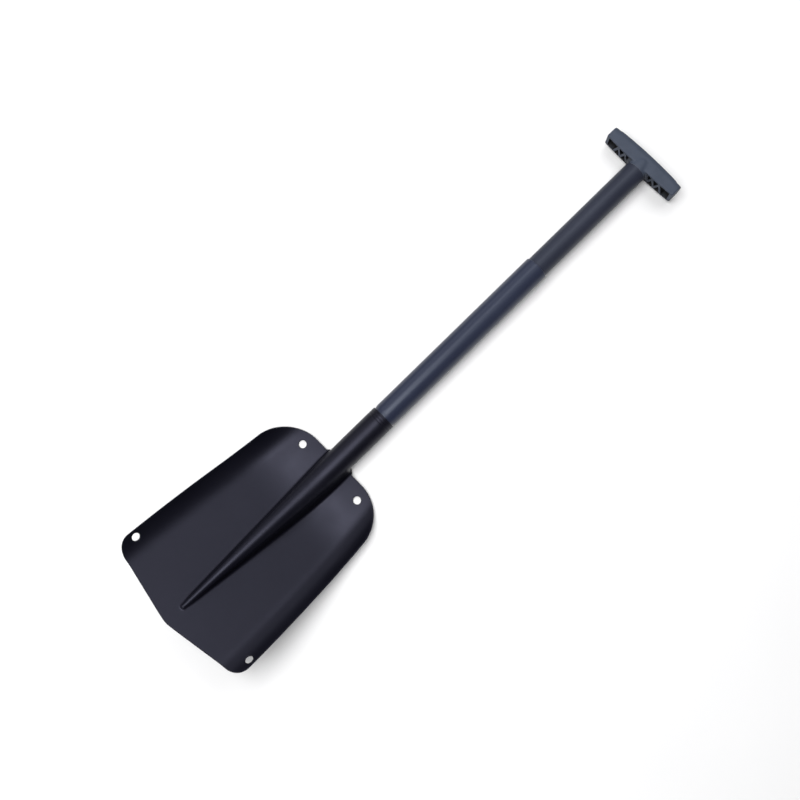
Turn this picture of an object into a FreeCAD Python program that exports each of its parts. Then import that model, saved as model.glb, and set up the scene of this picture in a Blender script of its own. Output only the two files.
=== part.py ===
"""A three-piece camp shovel, lying on its back with the scoop upwards.

+X runs along the shaft from the blade to the T-grip, +Y to the side, +Z up out of the scoop.
The origin is under the middle of the shovel, on the surface that it lies on.
"""

import FreeCAD, Part

import math
import os

import Sketcher

SHEET = "Dims"
OUTPUT = "parts"
NEAR = 1e-4

DIMENSIONS = [
    # lengths along the shaft, from the blade's tip to the top of the grip
    ("blade_run", 270.7),
    ("neck_length", 78.0),
    ("mid_visible", 264.5),
    ("upper_visible", 177.6),
    ("grip_height", 22.4),
    ("axis_height", 20.0),
    # the pressed blade
    ("sheet_gauge", 1.6),
    ("heel_setback", 40.0),
    ("heel_radius", 200.0),
    ("blade_pitch", 19.5),
    ("shoulder_half_width", 86.4),
    ("tip_half_width", 104.8),
    ("side_bow", 3.85),
    ("lip_radius", 36.0),
    ("lip_angle", 58.0),
    ("shoulder_radius", 52.5),
    ("tip_slant", 9.9),
    ("tip_radius", 29.0),
    ("corner_radius", 23.0),
    ("ridge_length", 243.0),
    ("ridge_end_radius", 3.4),
    ("ridge_draft", 8.0),
    ("lash_hole", 10.0),
    ("top_hole_setback", 16.8),
    ("top_hole_spacing", 97.4),
    ("low_hole_setback", 229.7),
    ("low_hole_turn", 41.9),
    # the socket rolled in the blade's neck
    ("neck_outer", 33.4),
    ("seam_width", 0.8),
    ("seam_start", 32.0),
    ("ring_pitch", 3.6),
    ("ring_depth", 0.3),
    # the tubes
    ("mid_outer", 31.8),
    ("mid_wall", 1.4),
    ("swage_outer", 30.0),
    ("swage_length", 4.0),
    ("socket_depth", 74.0),
    ("mouth_gap", 0.8),
    ("upper_outer", 28.8),
    ("upper_wall", 1.2),
    ("tube_overlap", 75.0),
    ("end_round", 0.9),
    # the two snap buttons and their holes
    ("button_width", 8.0),
    ("button_hole", 8.4),
    ("button_proud", 1.6),
    ("button_flange", 10.4),
    ("flange_gauge", 1.0),
    ("flange_play", 0.25),
    ("lower_button_setback", 20.0),
    ("upper_button_setback", 30.0),
    ("hole_step", 25.0),
    ("spring_reach", 38.0),
    ("spring_width", 7.0),
    ("spring_gauge", 0.8),
    ("spring_play", 0.1),
    # plugs
    ("plug_flange", 2.0),
    ("guide_flange", 4.0),
    ("plug_depth", 8.0),
    ("plug_wall", 1.6),
    ("slip", 0.05),
    # the T-grip
    ("grip_length", 110.5),
    ("grip_depth", 25.0),
    ("grip_palm_drop", 2.4),
    ("grip_finger_drop", 1.8),
    ("grip_palm_round", 8.0),
    ("grip_edge_round", 1.0),
    ("grip_wall", 2.4),
    ("grip_end_wall", 4.3),
    ("grip_roof", 5.0),
    ("rib_half_width", 1.5),
    ("rib_start", 15.4),
    ("rib_step", 5.55),
    ("stem_length", 3.0),
    ("stem_flare", 29.4),
    ("dome_height", 13.5),
    ("dome_fade", 2.8),
    ("spigot_length", 40.0),
    ("spigot_bore", 18.0),
    ("pin_setback", 12.0),
    ("pin_width", 4.0),
]


class Size:
    """A dimension that knows both its value and the sheet expression that it comes from."""

    def __init__(self, value, text):
        self.value = float(value)
        self.text = text

    def combine(self, other, sign, value):
        text = other.text if isinstance(other, Size) else repr(float(other))
        return Size(value, f"({self.text} {sign} {text})")

    def __add__(self, other):
        return self.combine(other, "+", self.value + float(other))

    def __sub__(self, other):
        return self.combine(other, "-", self.value - float(other))

    def __mul__(self, other):
        return self.combine(other, "*", self.value * float(other))

    def __truediv__(self, other):
        return self.combine(other, "/", self.value / float(other))

    def __neg__(self):
        return Size(-self.value, f"(-{self.text})")

    def __float__(self):
        return self.value


class Sizes:
    """The driving dimensions by name, each as a Size."""

    def __init__(self, sheet):
        for row, (alias, value) in enumerate(DIMENSIONS, start=1):
            sheet.set(f"A{row}", alias)
            sheet.set(f"B{row}", repr(value))
            sheet.setAlias(f"B{row}", alias)
            setattr(self, alias, Size(value, f"{SHEET}.{alias}"))


doc = FreeCAD.newDocument("CampShovel")
sheet = doc.addObject("Spreadsheet::Sheet", SHEET)
D = Sizes(sheet)
doc.recompute()

ZERO = D.slip * 0.0
HALF = (D.blade_run + D.neck_length + D.mid_visible + D.upper_visible + D.grip_height) / 2.0
SHOULDER_X = D.blade_run - HALF
MOUTH_X = SHOULDER_X + D.neck_length
MID_TOP_X = MOUTH_X + D.mid_visible
GRIP_X = MID_TOP_X + D.upper_visible
NECK_BORE = D.neck_outer / 2.0 - D.sheet_gauge
MID_BORE = D.mid_outer / 2.0 - D.mid_wall
SWAGE_BORE = D.swage_outer / 2.0 - D.mid_wall
UPPER_BORE = D.upper_outer / 2.0 - D.upper_wall
PARTS = []


def vector(x, y, z):
    return FreeCAD.Vector(float(x), float(y), float(z))


def place(obj, x):
    """Stand a finished sub-part on the shaft's axis at x, bound to the sheet."""
    obj.setExpression("Placement.Base.x", x.text)
    obj.setExpression("Placement.Base.z", D.axis_height.text)
    PARTS.append(obj)


def new_body(label):
    body = doc.addObject("PartDesign::Body", label)
    body.Label = label
    return body


def origin_plane(body, role):
    return next(f for f in body.Origin.OriginFeatures if f.Role == role)


def new_sketch(body, name, role, lift=None):
    """A sketch on one of the body's own origin planes, raised along its normal by lift."""
    sketch = body.newObject("Sketcher::SketchObject", name)
    sketch.AttachmentSupport = [(origin_plane(body, role), "")]
    sketch.MapMode = "FlatFace"
    if lift is not None:
        sketch.setExpression("AttachmentOffset.Base.z", lift.text)
    return sketch


def constrain(sketch, kind, geometry, end, size):
    """Hold one point of the sketch at a signed distance from the sketch's origin."""
    index = sketch.addConstraint(Sketcher.Constraint(kind, -1, 1, geometry, end, size.value))
    sketch.setExpression(f"Constraints[{index}]", size.text)


def draw_polygon(sketch, points):
    """A closed outline of straight lines, each corner held by two dimensions."""
    first = sketch.GeometryCount
    corners = [vector(u, v, 0.0) for u, v in points]
    for here, there in zip(corners, corners[1:] + corners[:1]):
        sketch.addGeometry(Part.LineSegment(here, there), False)
    count = len(points)
    for n in range(count):
        sketch.addConstraint(
            Sketcher.Constraint("Coincident", first + n, 2, first + (n + 1) % count, 1)
        )
        constrain(sketch, "DistanceX", first + n, 1, points[n][0])
        constrain(sketch, "DistanceY", first + n, 1, points[n][1])


def draw_circle(sketch, u, v, diameter):
    """A circle held by its centre and its diameter."""
    centre = vector(u, v, 0.0)
    circle = Part.Circle(centre, FreeCAD.Vector(0, 0, 1), diameter.value / 2.0)
    geometry = sketch.addGeometry(circle, False)
    index = sketch.addConstraint(Sketcher.Constraint("Diameter", geometry, diameter.value))
    sketch.setExpression(f"Constraints[{index}]", diameter.text)
    constrain(sketch, "DistanceX", geometry, 3, u)
    constrain(sketch, "DistanceY", geometry, 3, v)


def turned(body, name, points):
    """A solid of revolution about the shaft's axis, from an outline of (x, radius)."""
    sketch = new_sketch(body, name + "Outline", "XZ_Plane")
    draw_polygon(sketch, points)
    turn = body.newObject("PartDesign::Revolution", name)
    turn.Profile = sketch
    turn.ReferenceAxis = (sketch, ["H_Axis"])
    turn.Angle = 360.0
    doc.recompute()
    return turn


def padded(body, name, sketch, length):
    """A pad of a sketch, half its length to each side of the sketch's plane."""
    pad = body.newObject("PartDesign::Pad", name)
    pad.Profile = sketch
    pad.setExpression("Length", length.text)
    pad.SideType = "Symmetric"
    doc.recompute()
    return pad


def pocketed(body, name, sketch, length=None, towards_normal=False):
    """A pocket of a sketch, checked to have cut something."""
    before = body.Shape.Volume
    pocket = body.newObject("PartDesign::Pocket", name)
    pocket.Profile = sketch
    pocket.Reversed = towards_normal
    if length is None:
        pocket.Type = "ThroughAll"
    else:
        pocket.setExpression("Length", length.text)
    doc.recompute()
    if not body.Shape.Volume < before:
        raise RuntimeError(f"{name} cuts nothing")
    return pocket


def rounded(body, name, edges, radius):
    """A fillet of the edges of the body's tip that a test picks out."""
    tip = body.Tip
    names = [f"Edge{n}" for n, edge in enumerate(tip.Shape.Edges, start=1) if edges(edge)]
    if not names:
        raise RuntimeError(f"{name} finds no edge")
    fillet = body.newObject("PartDesign::Fillet", name)
    fillet.Base = (tip, names)
    fillet.setExpression("Radius", radius.text)
    doc.recompute()
    return fillet


def is_ring(edge, x, radius):
    """Whether an edge is a circle about the shaft's axis at x, of that radius."""
    if not isinstance(edge.Curve, Part.Circle):
        return False
    near = abs(edge.Curve.Center.x - float(x)) < NEAR
    return near and abs(edge.Curve.Radius - float(radius)) < NEAR


# ---------------------------------------------------------------- blade


def blend_in(a, reach):
    """a, eased from a flat start over its first stretch, so that a slope starts smoothly."""
    if a <= 0.0:
        return 0.0
    if a < reach:
        return a * a / (2.0 * reach)
    return a - reach / 2.0


def pan_height(a):
    """Height of the pan's front face against the shaft's axis, at a behind the shoulder."""
    heel = float(D.heel_setback)
    radius = float(D.heel_radius)
    slope = math.tan(math.radians(float(D.blade_pitch)))
    lowest = float(D.sheet_gauge) - float(D.axis_height)
    straight = heel + radius * slope
    if a < straight:
        return lowest + (a - heel) ** 2 / (2.0 * radius)
    return lowest + (straight - heel) ** 2 / (2.0 * radius) + (a - straight) * slope


def half_width(a):
    """Half the blade's width, to the rim of its raised side: a taper that bows outwards."""
    share = a / float(D.blade_run)
    narrow = float(D.shoulder_half_width)
    wide = float(D.tip_half_width)
    return narrow + (wide - narrow) * share + 4.0 * float(D.side_bow) * share * (1.0 - share)


def outer_edge(a):
    """Half the blade's width over the sheet's back edge, which leans out past the front one."""
    overhang = float(D.sheet_gauge) * math.sin(math.radians(float(D.lip_angle)))
    return half_width(a) + overhang


def pan_point(a, side, share):
    """A point of the pan's front face. share runs 0 to 1 over the flat, then 1 to 2 up the lip."""
    turn = math.radians(float(D.lip_angle))
    radius = float(D.lip_radius)
    flat = half_width(a) - radius * math.sin(turn)
    angle = turn * max(share - 1.0, 0.0)
    y = flat * min(share, 1.0) + radius * math.sin(angle)
    z = pan_height(a) + radius * (1.0 - math.cos(angle))
    return FreeCAD.Vector(-a, side * y, z)


def pan_normal(a, side, share):
    """The pan's unit normal there, out of the scoop."""
    step = 0.01
    along = pan_point(a - step, side, share) - pan_point(a + step, side, share)
    inner = min(max(share - step, 0.0), 2.0 - 2.0 * step)
    across = pan_point(a, side, inner + 2.0 * step) - pan_point(a, side, inner)
    normal = along.cross(across) * side
    return normal.normalize()


def middle_of(edge):
    return edge.valueAt((edge.FirstParameter + edge.LastParameter) / 2.0)


def pan_solid():
    """The pressed pan, wider than its outline at the top and bottom, as one sheet."""
    flat_steps = 7
    lip_steps = 4
    station_step = 14.0
    stations = [-8.0 + station_step * n for n in range(21)]
    shares = [n / flat_steps for n in range(flat_steps)]
    shares += [1.0 + n / lip_steps for n in range(lip_steps + 1)]
    across = [(-1.0, share) for share in reversed(shares[1:])] + [(1.0, share) for share in shares]
    gauge = float(D.sheet_gauge)
    front = [[pan_point(a, side, share) for side, share in across] for a in stations]
    back = [
        [pan_point(a, side, share) - pan_normal(a, side, share) * gauge for side, share in across]
        for a in stations
    ]
    faces = []
    for grid in (front, back):
        surface = Part.BSplineSurface()
        surface.interpolate(grid)
        faces.append(surface.toShape())
    front_rim, back_rim = (face.OuterWire.OrderedEdges for face in faces)
    for edge in front_rim:
        partner = min(back_rim, key=lambda other: (middle_of(other) - middle_of(edge)).Length)
        faces.append(Part.makeRuledSurface(edge, partner))
    shell = Part.Shell(faces)
    shell.sewShape()
    solid = Part.Solid(shell)
    if solid.Volume < 0.0:
        solid.reverse()
    return solid


def outline_prism():
    """The blade's plan outline, as a tall prism. It stands clear of the raised sides' rims."""
    run = float(D.blade_run)
    radius = float(D.shoulder_radius)
    slant = math.radians(float(D.tip_slant))
    tip_round = float(D.tip_radius)
    corner = float(D.corner_radius)
    apex = run + tip_round * (1.0 / math.cos(slant) - 1.0)

    guess = 0.88 * radius
    lean = math.atan((outer_edge(guess + 1.0) - outer_edge(guess - 1.0)) / 2.0)
    touch = radius * (1.0 - math.sin(lean))
    centre_y = outer_edge(touch) - radius * math.cos(lean)
    top = (0.0, centre_y)
    arc_middle = math.radians(45.0) + lean / 2.0
    shoulder = (
        radius - radius * math.cos(math.pi / 2.0 - arc_middle),
        centre_y + radius * math.sin(math.pi / 2.0 - arc_middle),
    )
    side = (touch, outer_edge(touch))
    clear_a = 210.0
    clear = (clear_a, outer_edge(touch) + math.tan(lean) * (clear_a - touch))

    corner_a = run - corner
    for _ in range(4):
        corner_y = outer_edge(corner_a) - corner
        corner_a = apex - corner / math.cos(slant) - corner_y * math.tan(slant)
    turned_in = (corner_a, corner_y + corner)
    middle_turn = (math.pi / 2.0 + slant) / 2.0
    corner_mid = (
        corner_a + corner * math.cos(middle_turn),
        corner_y + corner * math.sin(middle_turn),
    )
    corner_end = (corner_a + corner * math.cos(slant), corner_y + corner * math.sin(slant))
    tip_end = (apex - tip_round * math.tan(slant) * math.sin(slant), tip_round * math.sin(slant))

    def right(point):
        return FreeCAD.Vector(-point[0], point[1], 0.0)

    def left(point):
        return FreeCAD.Vector(-point[0], -point[1], 0.0)

    tip = FreeCAD.Vector(-run, 0.0, 0.0)
    edges = []
    for mirror in (right, left):
        edges.append(Part.Arc(mirror(top), mirror(shoulder), mirror(side)).toShape())
        edges.append(Part.LineSegment(mirror(side), mirror(clear)).toShape())
        edges.append(Part.LineSegment(mirror(clear), mirror(turned_in)).toShape())
        edges.append(Part.Arc(mirror(turned_in), mirror(corner_mid), mirror(corner_end)).toShape())
        edges.append(Part.LineSegment(mirror(corner_end), mirror(tip_end)).toShape())
    edges.append(Part.Arc(right(tip_end), tip, left(tip_end)).toShape())
    edges.append(Part.LineSegment(right(top), left(top)).toShape())
    wire = Part.Wire(Part.__sortEdges__(edges))
    below = 60.0
    height = 180.0
    face = Part.Face(wire)
    face.translate(FreeCAD.Vector(0.0, 0.0, -below))
    return face.extrude(FreeCAD.Vector(0.0, 0.0, height))


def ridge_radius(a):
    """Radius of the ridge's rounded top: the neck's at the shoulder, small at its end."""
    neck = float(D.neck_outer) / 2.0
    reach = 30.0
    fall = neck - float(D.ridge_end_radius)
    return neck - fall * blend_in(a, reach) / blend_in(float(D.ridge_length), reach)


def ridge_crest(a):
    """Height of the ridge's crest against the shaft's axis."""
    neck = float(D.neck_outer) / 2.0
    reach = 80.0
    above_sheet = 2.4
    end = pan_height(float(D.ridge_length)) + above_sheet
    return neck + (end - neck) * blend_in(a, reach) / blend_in(float(D.ridge_length), reach)


def ridge_section(a, inset, foot):
    """A round-topped section of the ridge at a, inset by a gauge, standing on height foot."""
    draft = math.radians(float(D.ridge_draft))
    outer = ridge_radius(a)
    radius = outer - inset
    centre = ridge_crest(a) - outer
    shoulder_y = radius * math.cos(draft)
    shoulder_z = centre + radius * math.sin(draft)
    foot_y = shoulder_y + (shoulder_z - foot) * math.tan(draft)
    crest = FreeCAD.Vector(-a, 0.0, centre + radius)
    corners = [
        FreeCAD.Vector(-a, -foot_y, foot),
        FreeCAD.Vector(-a, -shoulder_y, shoulder_z),
        FreeCAD.Vector(-a, shoulder_y, shoulder_z),
        FreeCAD.Vector(-a, foot_y, foot),
    ]
    return Part.Wire(
        [
            Part.LineSegment(corners[0], corners[1]).toShape(),
            Part.Arc(corners[1], crest, corners[2]).toShape(),
            Part.LineSegment(corners[2], corners[3]).toShape(),
            Part.LineSegment(corners[3], corners[0]).toShape(),
        ]
    )


def ridge_solid():
    """The ridge's outside, from a web under the neck to its rounded end in the pan."""
    gauge = float(D.sheet_gauge)
    length = float(D.ridge_length)
    web = [(-16.0, -1.0), (-8.0, -7.5)]
    stations = [0.0, 30.0, 60.0, 100.0, 140.0, 180.0, 215.0, length]
    sections = [ridge_section(a, 0.0, foot) for a, foot in web]
    sections += [ridge_section(a, 0.0, pan_height(a) - gauge / 2.0) for a in stations]
    loft = Part.makeLoft(sections, True, False)
    end = ridge_radius(length)
    ball = Part.makeSphere(end, FreeCAD.Vector(-length, 0.0, ridge_crest(length) - end))
    return loft.fuse(ball)


def ridge_hollow():
    """The space inside the ridge, open to the back of the blade."""
    gauge = float(D.sheet_gauge)
    length = float(D.ridge_length) - 2.0
    below = 4.0
    stations = [-1.0, 30.0, 60.0, 100.0, 140.0, 180.0, 215.0, length]
    sections = [ridge_section(a, gauge, pan_height(a) - gauge - below) for a in stations]
    return Part.makeLoft(sections, True, False)


def neck_ring():
    """The neck's rolled tube, with rings near its mouth and an unwelded seam lower down."""
    outer = float(D.neck_outer) / 2.0
    length = float(D.neck_length)
    tail = 8.0
    along = FreeCAD.Vector(1, 0, 0)
    start = FreeCAD.Vector(-tail, 0, 0)
    tube = Part.makeCylinder(outer, length + tail, start, along)
    tube = tube.cut(Part.makeCylinder(float(NECK_BORE), length + tail, start, along))
    depth = float(D.ring_depth)
    for n in range(3):
        x = length - 2.0 - float(D.ring_pitch) * n
        groove = Part.makeTorus(outer + depth, 2.0 * depth, FreeCAD.Vector(x, 0, 0), along)
        tube = tube.cut(groove)
    width = float(D.seam_width)
    seam = Part.makeBox(
        length + tail - float(D.seam_start),
        width,
        outer,
        FreeCAD.Vector(-tail, -width / 2.0, -outer - 1.0),
    )
    return tube.cut(seam)


def lash_holes():
    """Two holes by the shoulders and two square to the raised sides, near the tip."""
    radius = float(D.lash_hole) / 2.0
    tools = []
    for side in (-1.0, 1.0):
        x = -float(D.top_hole_setback)
        y = side * float(D.top_hole_spacing) / 2.0
        tools.append(Part.makeCylinder(radius, 60.0, FreeCAD.Vector(x, y, -45.0)))
        share = 1.0 + float(D.low_hole_turn) / float(D.lip_angle)
        point = pan_point(float(D.low_hole_setback), side, share)
        normal = pan_normal(float(D.low_hole_setback), side, share)
        tools.append(Part.makeCylinder(radius, 16.0, point - normal * 8.0, normal))
    return tools


def blade_shape():
    """The one-piece blade: pan, ridge and neck from one pressed and rolled sheet."""
    pan = pan_solid().common(outline_prism())
    down_the_neck = FreeCAD.Vector(-1, 0, 0)
    mouth = vector(D.neck_length + 1.0, 0, 0)
    bore = Part.makeCylinder(
        float(NECK_BORE), float(D.neck_length) + 1.0, mouth, down_the_neck
    )
    shape = pan.fuse(ridge_solid()).cut(ridge_hollow()).cut(bore)
    button_x = D.neck_length - D.lower_button_setback
    button_hole = Part.makeCylinder(
        float(D.button_hole) / 2.0, 30.0, vector(button_x, 0, 0), FreeCAD.Vector(0, 0, -1)
    )
    shape = shape.fuse(neck_ring().cut(button_hole))
    for hole in lash_holes():
        shape = shape.cut(hole)
    return shape.Solids[0]


def make_blade():
    blade = doc.addObject("Part::Feature", "blade")
    blade.Label = "blade"
    blade.Shape = blade_shape()
    place(blade, SHOULDER_X)


# ---------------------------------------------------------------- tubes


def back_hole(body, name, x, diameter, length):
    """A hole through the back wall of a tube, from its axis downwards."""
    sketch = new_sketch(body, name + "Circle", "XY_Plane")
    draw_circle(sketch, x, ZERO, diameter)
    return pocketed(body, name, sketch, length)


def make_mid_shaft():
    """The middle tube: swaged to enter the neck, with a row of setting holes down its back."""
    body = new_body("mid_shaft")
    start = -D.socket_depth
    swage = D.mouth_gap + D.swage_length
    top = D.mid_visible
    radius = D.mid_outer / 2.0
    turned(
        body,
        "MidTube",
        [
            (start, SWAGE_BORE),
            (D.mouth_gap, SWAGE_BORE),
            (swage, MID_BORE),
            (top, MID_BORE),
            (top, radius),
            (swage, radius),
            (D.mouth_gap, D.swage_outer / 2.0),
            (start, D.swage_outer / 2.0),
        ],
    )
    rounded(body, "MidTopRound", lambda edge: is_ring(edge, top, radius), D.end_round)
    rounded(body, "SwageRound", lambda edge: is_ring(edge, swage, radius), D.swage_length)
    back_hole(body, "LowerButtonHole", -D.lower_button_setback, D.button_hole, radius + 1.0)
    hole_x = D.mid_visible - D.upper_button_setback
    setting = back_hole(body, "SettingHole", hole_x, D.button_hole, radius + 1.0)
    row = body.newObject("PartDesign::LinearPattern", "SettingHoles")
    row.Originals = [setting]
    row.Direction = (setting.Profile[0], ["H_Axis"])
    row.Reversed = True
    row.Mode = "Spacing"
    row.setExpression("Offset", D.hole_step.text)
    row.Occurrences = 7
    body.Tip = row
    place(body, MOUTH_X)


def make_upper_shaft():
    """The upper tube, which slides inside the middle one and carries the grip."""
    body = new_body("upper_shaft")
    start = -D.tube_overlap
    end = D.upper_visible - D.stem_length
    radius = D.upper_outer / 2.0
    turned(
        body,
        "UpperTube",
        [(start, UPPER_BORE), (end, UPPER_BORE), (end, radius), (start, radius)],
    )
    back_hole(body, "ButtonHole", -D.upper_button_setback, D.button_hole, radius + 1.0)
    pin_hole(body, end - D.pin_setback)
    place(body, MID_TOP_X)


def make_plug(label, x, bore, rim, flange):
    """A moulded cup that closes the end of a tube. Its flange covers the tube's end."""
    body = new_body(label)
    skirt = bore - D.slip
    hollow = skirt - D.plug_wall
    turned(
        body,
        "Cup",
        [
            (-flange, ZERO),
            (-flange, rim),
            (ZERO, rim),
            (ZERO, skirt),
            (D.plug_depth, skirt),
            (D.plug_depth, hollow),
            (ZERO, hollow),
            (ZERO, ZERO),
        ],
    )
    place(body, x)


# ---------------------------------------------------------------- snap buttons


def chord_height(bore, half_chord, play):
    """How far from its axis a flat of that half width fits in a bore, less some play."""
    value = math.sqrt(float(bore) ** 2 - float(half_chord) ** 2) - float(play)
    return Size(value, f"(sqrt(({bore.text})^2 - ({half_chord.text})^2) - {play.text})")


def make_button(label, x, bore, outside):
    """A snap button: a flange that stays inside the tube, and a pin out through its wall."""
    body = new_body(label)
    half_flange = D.button_flange / 2.0
    flange = chord_height(bore, half_flange, D.flange_play)
    tip = outside + D.button_proud
    pin = D.button_width / 2.0
    sketch = new_sketch(body, "ButtonOutline", "XZ_Plane")
    draw_polygon(
        sketch,
        [
            (ZERO, -(flange - D.flange_gauge)),
            (half_flange, -(flange - D.flange_gauge)),
            (half_flange, -flange),
            (pin, -flange),
            (pin, -tip),
            (ZERO, -tip),
        ],
    )
    turn = body.newObject("PartDesign::Revolution", "Button")
    turn.Profile = sketch
    turn.ReferenceAxis = (sketch, ["V_Axis"])
    turn.Angle = 360.0
    doc.recompute()

    def at_tip(edge):
        if not isinstance(edge.Curve, Part.Circle):
            return False
        return abs(edge.Curve.Center.z + float(tip)) < NEAR

    rounded(body, "ButtonDome", at_tip, D.button_proud)
    place(body, x)


def make_spring(label, x, bore):
    """A leaf spring bent to a V: one leg carries the button, the other bears on the far wall."""
    body = new_body(label)
    gauge = D.spring_gauge
    flange = chord_height(bore, D.button_flange / 2.0, D.flange_play)
    low = -(flange - D.flange_gauge - D.slip)
    high = chord_height(bore, D.spring_width / 2.0, D.spring_play)
    heel = -D.button_width / 2.0
    bend = D.spring_reach
    sketch = new_sketch(body, "SpringOutline", "XZ_Plane")
    draw_polygon(
        sketch,
        [
            (heel, low),
            (-heel, low),
            (bend, -gauge * 2.5),
            (bend + gauge * 3.0, ZERO),
            (bend, gauge * 2.5),
            (-heel, high),
            (heel, high),
            (heel, high - gauge),
            (-heel, high - gauge),
            (bend - gauge, gauge * 1.5),
            (bend + gauge * 1.6, ZERO),
            (bend - gauge, -gauge * 1.5),
            (-heel, low + gauge),
            (heel, low + gauge),
        ],
    )
    padded(body, "Spring", sketch, D.spring_width)
    place(body, x)


# ---------------------------------------------------------------- grip


def draw_barrel(sketch, half, top, palm_drop, finger_drop):
    """The crossbar's outline: straight ends, and a shallow arc above and below."""
    corners = [(finger_drop, -half), (finger_drop, half), (top - palm_drop, half)]
    corners.append((top - palm_drop, -half))
    low_left, low_right, high_right, high_left = [vector(u, v, 0.0) for u, v in corners]
    sketch.addGeometry(Part.Arc(low_left, vector(0.0, 0.0, 0.0), low_right), False)
    sketch.addGeometry(Part.LineSegment(low_right, high_right), False)
    sketch.addGeometry(Part.Arc(high_left, vector(top, 0.0, 0.0), high_right), False)
    sketch.addGeometry(Part.LineSegment(high_left, low_left), False)
    low_start, low_end = (1, 2) if sketch.getPoint(0, 1).y < 0.0 else (2, 1)
    high_start, high_end = (1, 2) if sketch.getPoint(2, 1).y < 0.0 else (2, 1)
    sketch.addConstraint(Sketcher.Constraint("Coincident", 0, low_end, 1, 1))
    sketch.addConstraint(Sketcher.Constraint("Coincident", 1, 2, 2, high_end))
    sketch.addConstraint(Sketcher.Constraint("Coincident", 2, high_start, 3, 1))
    sketch.addConstraint(Sketcher.Constraint("Coincident", 3, 2, 0, low_start))
    ends = [(0, low_start), (1, 1), (1, 2), (3, 1)]
    for (geometry, end), (u, v) in zip(ends, corners):
        constrain(sketch, "DistanceX", geometry, end, u)
        constrain(sketch, "DistanceY", geometry, end, v)
    for geometry, drop in ((0, finger_drop), (2, palm_drop)):
        value = (float(half) ** 2 + float(drop) ** 2) / (2.0 * float(drop))
        text = f"(({half.text})^2 + ({drop.text})^2) / (2 * ({drop.text}))"
        index = sketch.addConstraint(Sketcher.Constraint("Radius", geometry, value))
        sketch.setExpression(f"Constraints[{index}]", text)


def rib_cells(half):
    """The hollows of one arm, as outlines of (y, z), left by a rib that zigzags between walls."""
    wall = D.grip_depth / 2.0 - D.grip_wall
    gap = D.rib_half_width
    start = half - D.rib_start
    knees = [start - D.rib_step * n for n in range(5)]
    outer = half - D.grip_end_wall
    point = wall - wall * 2.0 * (float(gap) / float(D.rib_step))
    cells = [[(outer, -wall), (outer, wall), (knees[1] + gap, wall), (knees[0] + gap, -wall)]]
    for n in (1, 2, 3):
        base = -wall if n % 2 else wall
        tip = point if n % 2 else -point
        cells.append([(knees[n - 1] - gap, base), (knees[n], tip), (knees[n + 1] + gap, base)])
    stem = D.stem_flare / 2.0 + gap
    cells.append([(knees[3] - gap, wall), (knees[4] + gap / 2.0, -wall * 0.3), (stem, wall)])
    return cells


def make_grip():
    """The moulded T-grip: a barrelled crossbar, ribbed and open below, on a hollow stem."""
    body = new_body("t_grip")
    half = D.grip_length / 2.0
    top = D.grip_height
    face = float(D.grip_depth) / 2.0

    outline = new_sketch(body, "CrossbarOutline", "XY_Plane")
    draw_barrel(outline, half, top, D.grip_palm_drop, D.grip_finger_drop)
    padded(body, "Crossbar", outline, D.grip_depth)

    def along_palm(edge):
        box = edge.BoundBox
        level = box.ZLength < NEAR and abs(abs(box.ZMax) - face) < NEAR
        return level and box.XMin > float(top) / 2.0 and box.YLength > float(half)

    def along_fingers(edge):
        box = edge.BoundBox
        level = box.ZLength < NEAR and abs(abs(box.ZMax) - face) < NEAR
        return level and box.XMax < float(top) / 2.0 and box.YLength > float(half)

    rounded(body, "PalmRound", along_palm, D.grip_palm_round)
    rounded(body, "FingerRound", along_fingers, D.grip_edge_round)

    hollows = new_sketch(body, "HollowsOutline", "YZ_Plane")
    for cell in rib_cells(half):
        draw_polygon(hollows, cell)
        draw_polygon(hollows, [(-y, z) for y, z in reversed(cell)])
    pocketed(body, "Hollows", hollows, top - D.grip_roof, towards_normal=True)

    joint = -D.stem_length
    spigot = UPPER_BORE - D.slip
    stem_radius = D.stem_flare / 2.0
    outline = [
        (joint - D.spigot_length, D.spigot_bore / 2.0),
        (joint - D.spigot_length, spigot),
        (joint, spigot),
        (joint, D.upper_outer / 2.0),
        (ZERO, stem_radius),
    ]
    for share in (0.3, 0.6, 0.8, 1.0):
        outline.append((D.dome_height * share, stem_radius - D.dome_fade * share**2))
    outline.append((D.dome_height, D.spigot_bore / 2.0))
    turned(body, "Stem", outline)
    core = new_sketch(body, "CoreCircle", "YZ_Plane")
    draw_circle(core, ZERO, ZERO, D.spigot_bore)
    pocketed(body, "Core", core, top - D.grip_roof, towards_normal=True)
    pin_hole(body, joint - D.pin_setback)
    place(body, GRIP_X)


def pin_hole(body, x):
    """The hole for the grip's pin, straight through from side to side."""
    sketch = new_sketch(body, "PinHoleCircle", "XZ_Plane")
    draw_circle(sketch, x, ZERO, D.pin_width)
    before = body.Shape.Volume
    hole = body.newObject("PartDesign::Pocket", "PinHole")
    hole.Profile = sketch
    hole.SideType = "Symmetric"
    hole.setExpression("Length", (D.upper_outer * 2.0).text)
    doc.recompute()
    if not body.Shape.Volume < before:
        raise RuntimeError("the pin hole cuts nothing")


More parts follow.
